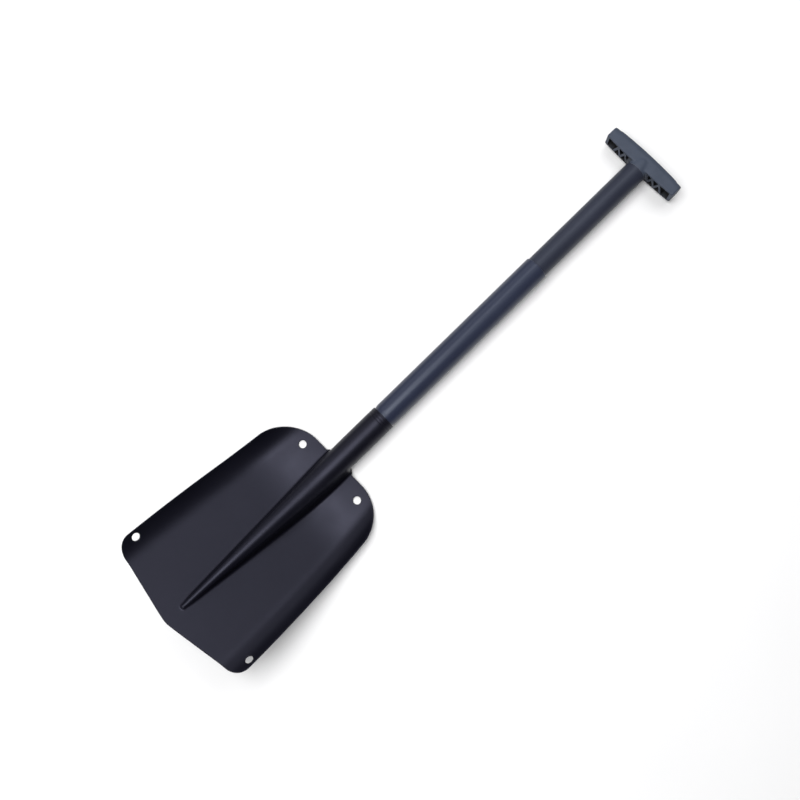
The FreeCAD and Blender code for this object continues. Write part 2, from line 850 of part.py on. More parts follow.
def make_grip_pin():
    """The slotted spring pin that holds the grip's spigot in the upper tube."""
    body = new_body("grip_pin")
    sketch = new_sketch(body, "PinRing", "XZ_Plane")
    draw_circle(sketch, ZERO, ZERO, D.pin_width - D.slip)
    draw_circle(sketch, ZERO, ZERO, D.pin_width * 0.55)
    padded(body, "Pin", sketch, D.upper_outer - 0.8)
    slot = new_sketch(body, "PinSlotOutline", "XZ_Plane")
    width = D.pin_width * 0.1
    reach = D.pin_width
    draw_polygon(slot, [(ZERO, -width), (reach, -width), (reach, width), (ZERO, width)])
    before = body.Shape.Volume
    cut = body.newObject("PartDesign::Pocket", "PinSlot")
    cut.Profile = slot
    cut.SideType = "Symmetric"
    cut.setExpression("Length", (D.upper_outer * 2.0).text)
    doc.recompute()
    if not body.Shape.Volume < before:
        raise RuntimeError("the pin's slot cuts nothing")
    place(body, GRIP_X - D.stem_length - D.pin_setback)


# ---------------------------------------------------------------- the whole shovel


def check_document():
    """Stop if any object of the document failed, or a sub-part has no sound shape."""
    for obj in doc.Objects:
        if {"Invalid", "Error"} & set(obj.State):
            raise RuntimeError(f"{obj.Label} failed: {obj.State}")
    for part in PARTS:
        if part.Shape.isNull() or not part.Shape.isValid():
            raise RuntimeError(f"{part.Label} has no sound shape")


def write_parts():
    os.makedirs(OUTPUT, exist_ok=True)
    for part in PARTS:
        box = part.Shape.optimalBoundingBox()
        spans = " ".join(f"{length:8.2f}" for length in (box.XLength, box.YLength, box.ZLength))
        lowest = f"{box.XMin:8.2f} {box.YMin:8.2f} {box.ZMin:8.2f}"
        solids = len(part.Shape.Solids)
        print(f"{part.Label:20} {solids} solid  {spans} from {lowest}  {part.Shape.Volume:9.0f} mm3")
        part.Shape.exportStep(os.path.join(OUTPUT, part.Label + ".step"))


def build():
    make_blade()
    make_mid_shaft()
    make_upper_shaft()
    tube_end = MOUTH_X - D.socket_depth
    make_plug("mid_shaft_plug", tube_end, SWAGE_BORE, D.swage_outer / 2.0, D.plug_flange)
    tube_end = MID_TOP_X - D.tube_overlap
    make_plug("upper_shaft_guide", tube_end, UPPER_BORE, MID_BORE - D.slip, D.guide_flange)
    button_x = MOUTH_X - D.lower_button_setback
    make_button("lower_snap_button", button_x, SWAGE_BORE, D.neck_outer / 2.0)
    make_spring("lower_snap_spring", button_x, SWAGE_BORE)
    button_x = MID_TOP_X - D.upper_button_setback
    make_button("upper_snap_button", button_x, UPPER_BORE, D.mid_outer / 2.0)
    make_spring("upper_snap_spring", button_x, UPPER_BORE)
    make_grip()
    make_grip_pin()
    doc.recompute()
    check_document()
    write_parts()


build()
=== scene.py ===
"""A camp shovel lying on its back on a pale studio floor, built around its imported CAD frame.

Lengths inside the shape functions are in millimetres and turn into metres where a mesh is made.
The blade is described by a, the distance behind its shoulder line towards the tip, with heights
measured against the shaft's axis. The other parts are described in the frame's own x, y and z.
"""

import math

import bmesh
import bpy
import numpy as np
from mathutils import Matrix, Vector


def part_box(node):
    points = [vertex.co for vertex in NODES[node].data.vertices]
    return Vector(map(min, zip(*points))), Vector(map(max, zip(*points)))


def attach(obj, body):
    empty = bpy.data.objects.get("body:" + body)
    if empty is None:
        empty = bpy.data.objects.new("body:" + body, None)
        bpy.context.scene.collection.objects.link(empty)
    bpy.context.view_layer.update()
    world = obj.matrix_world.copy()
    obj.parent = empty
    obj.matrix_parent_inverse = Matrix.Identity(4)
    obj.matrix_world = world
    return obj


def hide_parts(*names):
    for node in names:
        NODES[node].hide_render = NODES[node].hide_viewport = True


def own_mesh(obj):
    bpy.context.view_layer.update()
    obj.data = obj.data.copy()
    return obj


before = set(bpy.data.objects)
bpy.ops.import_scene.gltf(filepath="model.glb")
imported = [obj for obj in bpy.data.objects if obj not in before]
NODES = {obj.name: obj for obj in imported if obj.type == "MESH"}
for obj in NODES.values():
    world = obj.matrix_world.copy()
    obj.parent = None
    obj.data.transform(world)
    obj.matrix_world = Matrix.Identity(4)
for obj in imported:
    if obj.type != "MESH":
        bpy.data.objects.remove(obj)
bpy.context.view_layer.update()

MM = 0.001


def corner_mm(node, which):
    """A corner of a CAD node's box, in millimetres: 0 is the lowest, 1 the highest."""
    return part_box(node)[which] / MM


# ---------------------------------------------------------------- sizes shared with the CAD parts

NECK_LENGTH = 78.0
NECK_RADIUS = 16.7
SHEET = 1.6
HEEL = 40.0
HEEL_RADIUS = 200.0
PITCH = math.radians(19.5)
SHOULDER_HALF_WIDTH = 86.4
TIP_HALF_WIDTH = 104.8
SIDE_BOW = 3.85
LIP_RADIUS = 36.0
LIP_ANGLE = math.radians(58.0)
SHOULDER_RADIUS = 52.5
BLADE_RUN = 270.7
FRONT_RUN = BLADE_RUN - SHEET * math.sin(PITCH)
TIP_SLANT = math.radians(9.9)
TIP_RADIUS = 29.0
CORNER_RADIUS = 23.0
RIDGE_LENGTH = 243.0
RIDGE_END_RADIUS = 3.4
RIDGE_DRAFT = math.radians(8.0)
LASH_HOLE_RADIUS = 5.0
BUTTON_HOLE_RADIUS = 4.2
BUTTON_SETBACK = 20.0
TOP_HOLE = (16.8, 48.7)
LOW_HOLE = (229.7, math.radians(41.9))
GRIP_HALF_LENGTH = 55.25
GRIP_HEIGHT = 22.4
GRIP_HALF_DEPTH = 12.5
GRIP_STEM = 3.0
GRIP_SPIGOT = 40.0
GRIP_ROOF = 5.0

MOUTH_X = corner_mm("blade", 1).x
SHOULDER_X = MOUTH_X - NECK_LENGTH
AXIS_Z = (corner_mm("upper_shaft", 0).z + corner_mm("upper_shaft", 1).z) / 2.0
GRIP_X = corner_mm("t_grip", 1).x - GRIP_HEIGHT


# ---------------------------------------------------------------- mesh helpers


def make_object(name, points, faces):
    """A smooth-shaded mesh object from points in millimetres in the row frame."""
    mesh = bpy.data.meshes.new(name)
    mesh.from_pydata([(p[0] * MM, p[1] * MM, p[2] * MM) for p in points], [], faces)
    mesh.validate()
    mesh.shade_smooth()
    piece = bpy.data.objects.new(name, mesh)
    bpy.context.scene.collection.objects.link(piece)
    return piece


def apply_modifiers(piece):
    """Bakes a piece's modifiers into its mesh."""
    bpy.context.view_layer.update()
    graph = bpy.context.evaluated_depsgraph_get()
    mesh = bpy.data.meshes.new_from_object(piece.evaluated_get(graph), depsgraph=graph)
    piece.modifiers.clear()
    piece.data = mesh
    mesh.shade_smooth()


def cut(piece, tool):
    """Takes the tool's solids out of the piece, and deletes the tool."""
    modifier = piece.modifiers.new("cut", "BOOLEAN")
    modifier.operation = "DIFFERENCE"
    modifier.solver = "EXACT"
    modifier.object = tool
    apply_modifiers(piece)
    bpy.data.objects.remove(tool)


def sharpen(piece, degrees):
    """Shades edges steeper than this as sharp, and the rest smooth."""
    piece.data.set_sharp_from_angle(angle=math.radians(degrees))


def face_outwards(piece):
    """Turns the faces of a piece's closed shells outwards."""
    shell = bmesh.new()
    shell.from_mesh(piece.data)
    bmesh.ops.recalc_face_normals(shell, faces=shell.faces)
    shell.to_mesh(piece.data)
    shell.free()


def drop_slivers(piece, distance):
    """Takes out faces and edges of a piece that are thinner than so many metres."""
    shell = bmesh.new()
    shell.from_mesh(piece.data)
    bmesh.ops.triangulate(shell, faces=[face for face in shell.faces if len(face.verts) > 4])
    bmesh.ops.dissolve_degenerate(shell, edges=shell.edges, dist=distance)
    shell.to_mesh(piece.data)
    shell.free()


def merge_points(piece, distance):
    """Welds points of a piece that lie within so many metres of each other."""
    shell = bmesh.new()
    shell.from_mesh(piece.data)
    bmesh.ops.remove_doubles(shell, verts=shell.verts, dist=distance)
    shell.to_mesh(piece.data)
    shell.free()


def ring_sides(rings, count):
    """The faces between neighbouring rings of count points each."""
    faces = []
    for ring in range(rings - 1):
        low, high = ring * count, (ring + 1) * count
        for n in range(count):
            after = (n + 1) % count
            faces.append((low + n, low + after, high + after, high + n))
    return faces


def end_caps(rings, count):
    """One face over the first ring and one over the last."""
    last = (rings - 1) * count
    return [tuple(range(count)), tuple(range(last, last + count))]


def lathe(profile, origin, axis, steps):
    """Points and faces of a closed shell turned from (along, radius) pairs about an axis."""
    axis = Vector(axis).normalized()
    turn = axis.to_track_quat("Z", "Y").to_matrix()
    points = []
    for along, radius in profile:
        for n in range(steps):
            angle = 2.0 * math.pi * n / steps
            local = Vector((radius * math.cos(angle), radius * math.sin(angle), along))
            points.append(Vector(origin) + turn @ local)
    first, last = end_caps(len(profile), steps)
    return points, ring_sides(len(profile), steps) + [first[::-1], last]


def join_shells(name, shells):
    """One object of several closed shells, each a (points, faces) pair."""
    all_points = []
    all_faces = []
    for points, faces in shells:
        start = len(all_points)
        all_points += points
        all_faces += [tuple(start + index for index in face) for face in faces]
    piece = make_object(name, all_points, all_faces)
    face_outwards(piece)
    return piece


def ease(t):
    """Runs smoothly from 0 to 1 as t does, and stays there outside."""
    t = min(max(t, 0.0), 1.0)
    return t * t * (3.0 - 2.0 * t)


def resampled(points, count):
    """count + 1 points at even steps along a polyline of (y, z) points."""
    path = np.array(points)
    steps = np.hypot(*np.diff(path, axis=0).T)
    travelled = np.concatenate([[0.0], np.cumsum(steps)])
    wanted = np.linspace(0.0, travelled[-1], count + 1)
    y = np.interp(wanted, travelled, path[:, 0])
    z = np.interp(wanted, travelled, path[:, 1])
    return list(zip(y.tolist(), z.tolist()))


# ---------------------------------------------------------------- blade

FOOT_RADIUS = 3.5
RIDGE_STEPS = 46
PAN_STEPS = 34
SKIRT = 16.0
RINGS = 3
RING_SETBACK = 2.0
RING_PITCH = 3.6
RING_RADIUS = 0.6
RING_CENTRE = 0.3
SEAM_GAP = 0.8
SEAM_END = 32.0
RIDGE_FADE = 6.0
RIM_ROUND = 0.55


def blend_in(a, reach):
    """Rises from 0 with a slope that grows to 1 over the reach, and is straight after it."""
    if a <= 0.0:
        return 0.0
    if a < reach:
        return a * a / (2.0 * reach)
    return a - reach / 2.0


def pan_height(a):
    """Height of the pan's front face against the shaft's axis."""
    slope = math.tan(PITCH)
    lowest = SHEET - AXIS_Z
    straight = HEEL + HEEL_RADIUS * slope
    if a < straight:
        return lowest + (a - HEEL) ** 2 / (2.0 * HEEL_RADIUS)
    return lowest + (straight - HEEL) ** 2 / (2.0 * HEEL_RADIUS) + (a - straight) * slope


def half_width(a):
    """Half the blade's width, to the rim of its raised side: a taper that bows outwards."""
    share = a / BLADE_RUN
    taper = SHOULDER_HALF_WIDTH + (TIP_HALF_WIDTH - SHOULDER_HALF_WIDTH) * share
    return taper + 4.0 * SIDE_BOW * share * (1.0 - share)


def pan_surface(a, y):
    """Height of the pan's front face at a and y, up the raised sides too."""
    flat = half_width(a) - LIP_RADIUS * math.sin(LIP_ANGLE)
    beyond = min(max(abs(y) - flat, 0.0), LIP_RADIUS * math.sin(LIP_ANGLE))
    return pan_height(a) + LIP_RADIUS - math.sqrt(LIP_RADIUS**2 - beyond**2)


def pan_normal(a, y):
    """The outward normal of the pan's front face, in the row frame."""
    step = 0.05
    along = (pan_surface(a + step, y) - pan_surface(a - step, y)) / (2.0 * step)
    across = (pan_surface(a, y + step) - pan_surface(a, y - step)) / (2.0 * step)
    return Vector((along, -across, 1.0)).normalized()


def ridge_radius(a):
    """Radius of the ridge's rounded top: the neck's at the shoulder, small at its end."""
    reach = 30.0
    fall = NECK_RADIUS - RIDGE_END_RADIUS
    return NECK_RADIUS - fall * blend_in(a, reach) / blend_in(RIDGE_LENGTH, reach)


def ridge_crest(a):
    """Height of the ridge's crest against the shaft's axis."""
    reach = 80.0
    above_sheet = 2.4
    end = pan_height(RIDGE_LENGTH) + above_sheet
    return NECK_RADIUS + (end - NECK_RADIUS) * blend_in(a, reach) / blend_in(RIDGE_LENGTH, reach)


def ridge_profile(a):
    """Half of the ridge's section at a, from its crest to where its foot runs into the pan."""
    radius = ridge_radius(a)
    centre = ridge_crest(a) - radius
    foot_z = pan_height(a) + FOOT_RADIUS
    lift = RIDGE_DRAFT
    wall = (radius * math.cos(lift), centre + radius * math.sin(lift))
    foot_y = wall[0] + (FOOT_RADIUS - (foot_z - wall[1]) * math.sin(lift)) / math.cos(lift)
    if foot_z - FOOT_RADIUS * math.sin(lift) > wall[1]:
        foot_y = math.sqrt((radius + FOOT_RADIUS) ** 2 - (foot_z - centre) ** 2)
        lift = math.atan2(foot_z - centre, foot_y)
    points = []
    for angle in np.linspace(math.pi / 2.0, lift, 40):
        points.append((radius * math.cos(angle), centre + radius * math.sin(angle)))
    for angle in np.linspace(math.pi + lift, 1.5 * math.pi, 24):
        y = foot_y + FOOT_RADIUS * math.cos(angle)
        points.append((y, foot_z + FOOT_RADIUS * math.sin(angle)))
    return resampled(points, RIDGE_STEPS)


def ridge_row(a):
    """The ridge's half section as (y, height over the pan), fading out past the ridge's end."""
    if a <= RIDGE_LENGTH:
        return [(y, z - pan_height(a)) for y, z in ridge_profile(a)]
    level = pan_height(RIDGE_LENGTH)
    profile = ridge_profile(RIDGE_LENGTH)
    share = min((a - RIDGE_LENGTH) / RIDGE_FADE, 1.0)
    keep = 0.5 + 0.5 * math.cos(math.pi * share**1.4)
    foot = profile[-1][0]
    row = []
    for n, (y, z) in enumerate(profile):
        spread = foot * n / RIDGE_STEPS
        row.append((spread + (y - spread) * keep, (z - level) * keep))
    return row


def neck_radius(a):
    """The neck's radius, with fine ring grooves by its mouth."""
    depth = 0.0
    for n in range(RINGS):
        offset = a + NECK_LENGTH - RING_SETBACK - RING_PITCH * n
        if abs(offset) < RING_RADIUS:
            depth = max(depth, math.sqrt(RING_RADIUS**2 - offset**2) - RING_CENTRE)
    return NECK_RADIUS - depth


def neck_row(a):
    """Half of the neck's section: a tube with a seam behind, opening towards the pan."""
    radius = neck_radius(a)
    closed = a < -NECK_LENGTH + SEAM_END
    gap = 0.0 if closed else math.asin(SEAM_GAP / 2.0 / radius)
    opened = ease((a + SKIRT) / SKIRT)
    at_shoulder = ridge_profile(0.0)
    row = []
    for n in range(RIDGE_STEPS + 1):
        angle = (math.pi - gap) * n / RIDGE_STEPS
        y = radius * math.sin(angle)
        z = radius * math.cos(angle)
        flat_y, flat_z = at_shoulder[n]
        row.append((y + (flat_y - y) * opened, z + (flat_z - z) * opened))
    return row


def shoulder_outline():
    """Centre of the shoulder's arc and where it runs into the blade's side, as (centre_y, a)."""
    guess = 0.88 * SHOULDER_RADIUS
    lean = math.atan((half_width(guess + 1.0) - half_width(guess - 1.0)) / 2.0)
    touch = SHOULDER_RADIUS * (1.0 - math.sin(lean))
    return half_width(touch) - SHOULDER_RADIUS * math.cos(lean), touch


def tip_shift(y):
    """How far the tip's edge lies short of the apex at y, rounded over at the middle."""
    blunt = TIP_RADIUS * math.tan(TIP_SLANT)
    return math.tan(TIP_SLANT) * (math.hypot(y, blunt) - blunt)


def pan_rows():
    """The pan's rows, as (distance along the middle, half width, share of the tip's slant)."""
    centre_y, touch = shoulder_outline()
    rows = []
    angle_step = math.radians(4.5)
    angle = 0.0
    while SHOULDER_RADIUS * (1.0 - math.cos(angle)) < touch - 1.0:
        a = SHOULDER_RADIUS * (1.0 - math.cos(angle))
        rows.append((a, centre_y + SHOULDER_RADIUS * math.sin(angle), 0.0))
        angle += angle_step

    # The corner's place and the width there depend on each other, and settle in a few rounds.
    corner_a = FRONT_RUN - CORNER_RADIUS
    for _ in range(4):
        rim = half_width(corner_a)
        corner_y = rim - CORNER_RADIUS
        corner_a = FRONT_RUN - tip_shift(corner_y) - CORNER_RADIUS / math.cos(TIP_SLANT)
    last_straight = corner_a + tip_shift(rim)
    slant_from = 150.0
    ridge_steps = 48
    fade_steps = 12
    plain = [touch + (RIDGE_LENGTH - touch) * n / ridge_steps for n in range(ridge_steps)]
    plain += [RIDGE_LENGTH + RIDGE_FADE * n / fade_steps for n in range(fade_steps + 1)]
    plain = [a for a in plain if a < last_straight - 1.0]
    for a in plain:
        slant = ease((a - slant_from) / (last_straight - slant_from))
        rows.append((a, half_width(a - slant * tip_shift(rim)), slant))

    corner_steps = 12
    last_turn = math.pi / 2.0 - TIP_SLANT
    for n in range(corner_steps + 1):
        turn = last_turn * n / corner_steps
        y = corner_y + CORNER_RADIUS * math.cos(turn)
        a = corner_a + CORNER_RADIUS * math.sin(turn) + tip_shift(y)
        rows.append((a, y, 1.0))
    return rows


def neck_stations():
    """Where the neck's rows lie: close together across the grooves and down the skirt."""
    stations = {-NECK_LENGTH, -NECK_LENGTH + SEAM_END - 0.2, -NECK_LENGTH + SEAM_END + 0.2}
    across_groove = (-0.8, -0.5, -0.3, -0.15, 0, 0.15, 0.3, 0.5, 0.8)
    for n in range(RINGS):
        groove = -NECK_LENGTH + RING_SETBACK + RING_PITCH * n
        stations |= {groove + offset for offset in across_groove}
    past_rings = 12.0
    stations |= {-NECK_LENGTH + past_rings + 3.0 * n for n in range(17)}
    skirt_steps = 14
    stations |= {-SKIRT + SKIRT * n / skirt_steps for n in range(skirt_steps)}
    return sorted(stations)


def blade_skin():
    """The front face of the sheet, as a grid of points, from the neck's mouth to the tip."""
    rows = []
    for a in neck_stations():
        rows.append([(a, y, z) for y, z in neck_row(a)])
    for middle_a, width, slant in pan_rows():
        row = []
        for y, height in ridge_row(middle_a):
            a = middle_a - slant * tip_shift(y)
            row.append((a, y, pan_height(a) + height))
        foot = row[-1][1]
        for n in range(1, PAN_STEPS + 1):
            y = foot + (width - foot) * n / PAN_STEPS
            a = middle_a - slant * tip_shift(y)
            row.append((a, y, pan_surface(a, y)))
        rows.append(row)

    points = []
    lookup = {}
    for i, row in enumerate(rows):
        for j, (a, y, z) in enumerate(row):
            for side in (1, -1):
                if j == 0 and side == -1:
                    lookup[i, 0, -1] = lookup[i, 0, 1]
                    continue
                lookup[i, j, side] = len(points)
                points.append((SHOULDER_X - a, side * y, AXIS_Z + z))
    faces = []
    for i in range(len(rows) - 1):
        for j in range(min(len(rows[i]), len(rows[i + 1])) - 1):
            for side in (1, -1):
                quad = [(i, j), (i, j + 1), (i + 1, j + 1), (i + 1, j)]
                face = [lookup[row, column, side] for row, column in quad]
                faces.append(face if side == 1 else face[::-1])
    return points, faces


def eyelet_cutter(centre, normal, radius):
    """A spool that cuts a hole through the sheet and rounds both of its edges."""
    flare = 0.45
    half = SHEET / 2.0
    beyond = 6.0
    upper = []
    for turn in np.linspace(0.0, math.pi / 2.0, 6):
        along = half - flare + flare * math.sin(turn)
        upper.append((along, radius + flare * (1.0 - math.cos(turn))))
    upper.append((half + beyond, radius + flare))
    profile = [(-along, r) for along, r in reversed(upper)] + upper
    return lathe(profile, centre, normal, 56)


def sheet_point(a, y):
    """The middle of the sheet under a point of the pan's front, and the normal there."""
    normal = pan_normal(a, y)
    surface = Vector((SHOULDER_X - a, y, AXIS_Z + pan_surface(a, y)))
    return surface - normal * (SHEET / 2.0), normal


def make_blade():
    """The one-piece blade, thickened from its front face, with its holes."""
    points, faces = blade_skin()
    piece = make_object("blade_sheet", points, faces)
    merge_points(piece, 1e-6)
    thick = piece.modifiers.new("thickness", "SOLIDIFY")
    thick.thickness = SHEET * MM
    thick.offset = -1.0
    rims = piece.modifiers.new("rims", "BEVEL")
    rims.limit_method = "ANGLE"
    rims.angle_limit = math.radians(60.0)
    rims.width = RIM_ROUND * MM
    rims.segments = 3
    rims.use_clamp_overlap = False
    apply_modifiers(piece)

    holes = []
    low_a, low_turn = LOW_HOLE
    flat = half_width(low_a) - LIP_RADIUS * math.sin(LIP_ANGLE)
    low_y = flat + LIP_RADIUS * math.sin(low_turn)
    for side in (1.0, -1.0):
        for a, y in (TOP_HOLE, (low_a, low_y)):
            holes.append(eyelet_cutter(*sheet_point(a, side * y), LASH_HOLE_RADIUS))
    wall = Vector((MOUTH_X - BUTTON_SETBACK, 0.0, AXIS_Z - NECK_RADIUS + SHEET / 2.0))
    holes.append(eyelet_cutter(wall, Vector((0.0, 0.0, -1.0)), BUTTON_HOLE_RADIUS))
    cut(piece, join_shells("eyelets", holes))
    drop_slivers(piece, 1e-6)
    sharpen(piece, 50.0)
    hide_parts("blade")
    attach(piece, "blade")
    return piece


# ---------------------------------------------------------------- T-grip

GRIP_VOXEL = 0.55
CORE_RADIUS = 9.0
SPIGOT_RADIUS = 13.1
RIM_WALL = 2.4
END_WALL = 4.3
RIB_GAP = 1.5
RIB_START = 15.4
RIB_STEP = 5.55
ROOT_RADIUS = 14.7
STEM_RADIUS = 14.4
PALM_DROP = 2.4
FINGER_DROP = 1.8
PALM_ROUND = 8.0
FINGER_ROUND = 1.3
CAP_LENGTH = 10.0
CAP_STEP = 0.6

# The root swelling out of the crossbar, as (distance past its finger side, radius).
ROOT_DOME = ((-1.0, 14.62), (4.0, 14.5), (8.0, 14.0), (11.0, 13.1), (13.5, 11.9), (15.5, 10.0))


def grip_section(y, inset):
    """The crossbar's section at y as (x, z) points, drawn in all round by inset."""
    share = (y / GRIP_HALF_LENGTH) ** 2
    low = FINGER_DROP * share + inset
    cap = ease((abs(y) - (GRIP_HALF_LENGTH - CAP_LENGTH)) / 2.0)
    high = GRIP_HEIGHT - PALM_DROP * share - CAP_STEP * cap - inset
    half = GRIP_HALF_DEPTH - inset
    corners = (
        (high, half, PALM_ROUND, 0.0),
        (low, half, FINGER_ROUND, 90.0),
        (low, -half, FINGER_ROUND, 180.0),
        (high, -half, PALM_ROUND, 270.0),
    )
    points = []
    for x, z, radius, start in corners:
        radius = max(radius - inset, 0.4)
        centre_x = x - math.copysign(radius, x - (high + low) / 2.0)
        centre_z = z - math.copysign(radius, z)
        for n in range(9):
            angle = math.radians(start + 90.0 * n / 8)
            points.append((centre_x + radius * math.cos(angle), centre_z + radius * math.sin(angle)))
    return points


def crossbar():
    """The crossbar as a closed shell, its ends rounded over."""
    round_over = 1.4
    stations = []
    for n in range(7):
        turn = math.radians(90.0 * n / 6)
        y = GRIP_HALF_LENGTH - round_over * (1.0 - math.sin(turn))
        stations.append((-y, round_over * (1.0 - math.cos(turn))))
    stations.reverse()
    station_step = 1.5
    inner = [(-GRIP_HALF_LENGTH + round_over + station_step * n, 0.0) for n in range(1, 36)]
    stations = stations + inner
    stations += [(-y, inset) for y, inset in reversed(stations)]
    points = []
    for y, inset in stations:
        points += [(GRIP_X + x, y, AXIS_Z + z) for x, z in grip_section(y, inset)]
    count = len(points) // len(stations)
    return points, ring_sides(len(stations), count) + end_caps(len(stations), count)


def rounded_outline(points, radius):
    """A polygon of (y, z) points with its corners rounded."""
    outline = []
    count = len(points)
    for n in range(count):
        here = Vector(points[n])
        before = Vector(points[n - 1]) - here
        after = Vector(points[(n + 1) % count]) - here
        half = before.angle(after) / 2.0
        reach = min(radius / math.tan(half), 0.45 * before.length, 0.45 * after.length)
        start = here + before.normalized() * reach
        end = here + after.normalized() * reach
        for k in range(6):
            t = k / 5.0
            point = start * (1 - t) ** 2 + here * (2 * t * (1 - t)) + end * t**2
            outline.append(point.to_tuple())
    return outline


def rib_cells():
    """The hollows of the arm on the +Y side, as (y, z) outlines left by a zigzag rib."""
    wall = GRIP_HALF_DEPTH - RIM_WALL
    step = RIB_STEP
    gap = RIB_GAP
    first = GRIP_HALF_LENGTH - RIB_START
    knees = [first - step * n for n in range(5)]
    outer = GRIP_HALF_LENGTH - END_WALL
    point = wall - wall * 2.0 * gap / step
    cells = [[(outer, -wall), (outer, wall), (knees[1] + gap, wall), (knees[0] + gap, -wall)]]
    for n in (1, 2, 3):
        base = -wall if n % 2 else wall
        tip = point if n % 2 else -point
        cells.append([(knees[n - 1] - gap, base), (knees[n], tip), (knees[n + 1] + gap, base)])
    stem = ROOT_RADIUS + gap
    cells.append([(knees[3] - gap, wall), (knees[4] + gap / 2.0, -wall * 0.3), (stem, wall)])
    return cells


def cell_cutter(cell, side):
    """A slightly tapered prism that hollows one cell from the finger side."""
    outline = rounded_outline([(side * y, z) for y, z in cell], 0.9)
    middle = sum((Vector(p) for p in outline), Vector((0.0, 0.0))) / len(outline)
    levels = ((-4.0, 1.03), (1.6, 1.0), (GRIP_HEIGHT - GRIP_ROOF, 0.94))
    points = []
    for x, scale in levels:
        for p in outline:
            y, z = middle + (Vector(p) - middle) * scale
            points.append((GRIP_X + x, y, AXIS_Z + z))
    count = len(outline)
    return points, ring_sides(len(levels), count) + end_caps(len(levels), count)


def make_grip():
    """The crossbar melted into its stem and hollowed out, and the spigot below as a tube."""
    along = Vector((1.0, 0.0, 0.0))
    start = Vector((GRIP_X, 0.0, AXIS_Z))
    stem_profile = [(-GRIP_STEM - 6.0, STEM_RADIUS), (-GRIP_STEM, STEM_RADIUS), *ROOT_DOME]
    moulding = join_shells("t_grip_moulding", [crossbar(), lathe(stem_profile, start, along, 72)])
    remesh = moulding.modifiers.new("one_moulding", "REMESH")
    remesh.mode = "VOXEL"
    remesh.voxel_size = GRIP_VOXEL * MM
    apply_modifiers(moulding)

    group = moulding.vertex_groups.new(name="blend")
    for vertex in moulding.data.vertices:
        x = vertex.co.x / MM - GRIP_X
        radius = math.hypot(vertex.co.y, vertex.co.z - AXIS_Z * MM) / MM
        around_root = ease(1.0 - abs(radius - 15.0) / 5.5)
        above_stem = ease((x + 8.0) / 6.0)
        below_palm = ease((21.0 - x) / 5.0)
        group.add([vertex.index], around_root * above_stem * below_palm, "REPLACE")
    fair = moulding.modifiers.new("fair", "SMOOTH")
    fair.factor = 0.5
    fair.iterations = 5
    blend = moulding.modifiers.new("stem_blend", "SMOOTH")
    blend.factor = 0.5
    blend.iterations = 60
    blend.vertex_group = "blend"
    apply_modifiers(moulding)
    moulding.vertex_groups.clear()

    tools = [cell_cutter(cell, side) for cell in rib_cells() for side in (1.0, -1.0)]
    clear = 20.0
    below = [(-GRIP_STEM - clear, clear), (-GRIP_STEM, clear)]
    tools.append(lathe(below, start, along, 48))
    cut(moulding, join_shells("hollows", tools))
    core = [(-GRIP_STEM - 1.0, CORE_RADIUS), (GRIP_HEIGHT - GRIP_ROOF, CORE_RADIUS)]
    cut(moulding, join_shells("core", [lathe(core, start, along, 48)]))
    sharpen(moulding, 40.0)

    top = -GRIP_STEM + 0.2
    bottom = -GRIP_STEM - GRIP_SPIGOT
    spigot = [(top, CORE_RADIUS), (top, SPIGOT_RADIUS), (bottom, SPIGOT_RADIUS), (bottom, CORE_RADIUS)]
    points, faces = lathe(spigot + spigot[:1], start, along, 72)
    without_caps = faces[:-2]
    lower = join_shells("t_grip_spigot", [(points, without_caps)])
    merge_points(lower, 1e-6)
    face_outwards(lower)
    sharpen(lower, 40.0)
    for piece in (moulding, lower):
        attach(piece, "upper_shaft")
        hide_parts("t_grip")
    return moulding, lower


# ---------------------------------------------------------------- springs

SPRING_GAUGE = 0.8
SPRING_HALF_WIDTH = 3.5
SPRING_BEND = 1.6
SPRING_PAD = 8.0
SPRING_EDGE = 0.12


def make_spring(name, node, body):
    """A V-shaped leaf spring in the room of its CAD solid."""
    low, high = corner_mm(node, 0), corner_mm(node, 1)
    bottom = low.z + SPRING_GAUGE / 2.0
    top = high.z - SPRING_GAUGE / 2.0
    bend_x = high.x - SPRING_GAUGE / 2.0 - SPRING_BEND
    pad = low.x + SPRING_PAD
    path = [(low.x, bottom), (pad, bottom)]
    bend_steps = 12
    for n in range(bend_steps + 1):
        angle = math.radians(-80.0 + 160.0 * n / bend_steps)
        path.append((bend_x + SPRING_BEND * math.cos(angle), AXIS_Z + SPRING_BEND * math.sin(angle)))
    path += [(pad, top), (low.x, top)]
    corners = ((-1, -1), (1, -1), (1, 1), (-1, 1))
    points = []
    for n, here in enumerate(path):
        before = Vector(path[max(n - 1, 0)])
        after = Vector(path[min(n + 1, len(path) - 1)])
        run = (after - before).normalized()
        normal = Vector((-run.y, run.x)) * (SPRING_GAUGE / 2.0)
        for y, sign in corners:
            edge = Vector(here) + normal * sign
            points.append((edge.x, y * SPRING_HALF_WIDTH, edge.y))
    faces = ring_sides(len(path), len(corners)) + end_caps(len(path), len(corners))
    piece = join_shells(name, [(points, faces)])
    edges = piece.modifiers.new("edges", "BEVEL")
    edges.limit_method = "ANGLE"
    edges.angle_limit = math.radians(50.0)
    edges.width = SPRING_EDGE * MM
    edges.segments = 2
    apply_modifiers(piece)
    sharpen(piece, 40.0)
    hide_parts(node)
    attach(piece, body)
    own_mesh(piece)
    return piece


# ---------------------------------------------------------------- materials


def new_material(name):
    """A node material, with its node tree and its principled shader."""
    material = bpy.data.materials.new(name)
    material.use_nodes = True
    tree = material.node_tree
    tree.nodes.clear()
    output = tree.nodes.new("ShaderNodeOutputMaterial")
    shader = tree.nodes.new("ShaderNodeBsdfPrincipled")
    tree.links.new(shader.outputs["BSDF"], output.inputs["Surface"])
    return material, tree, shader


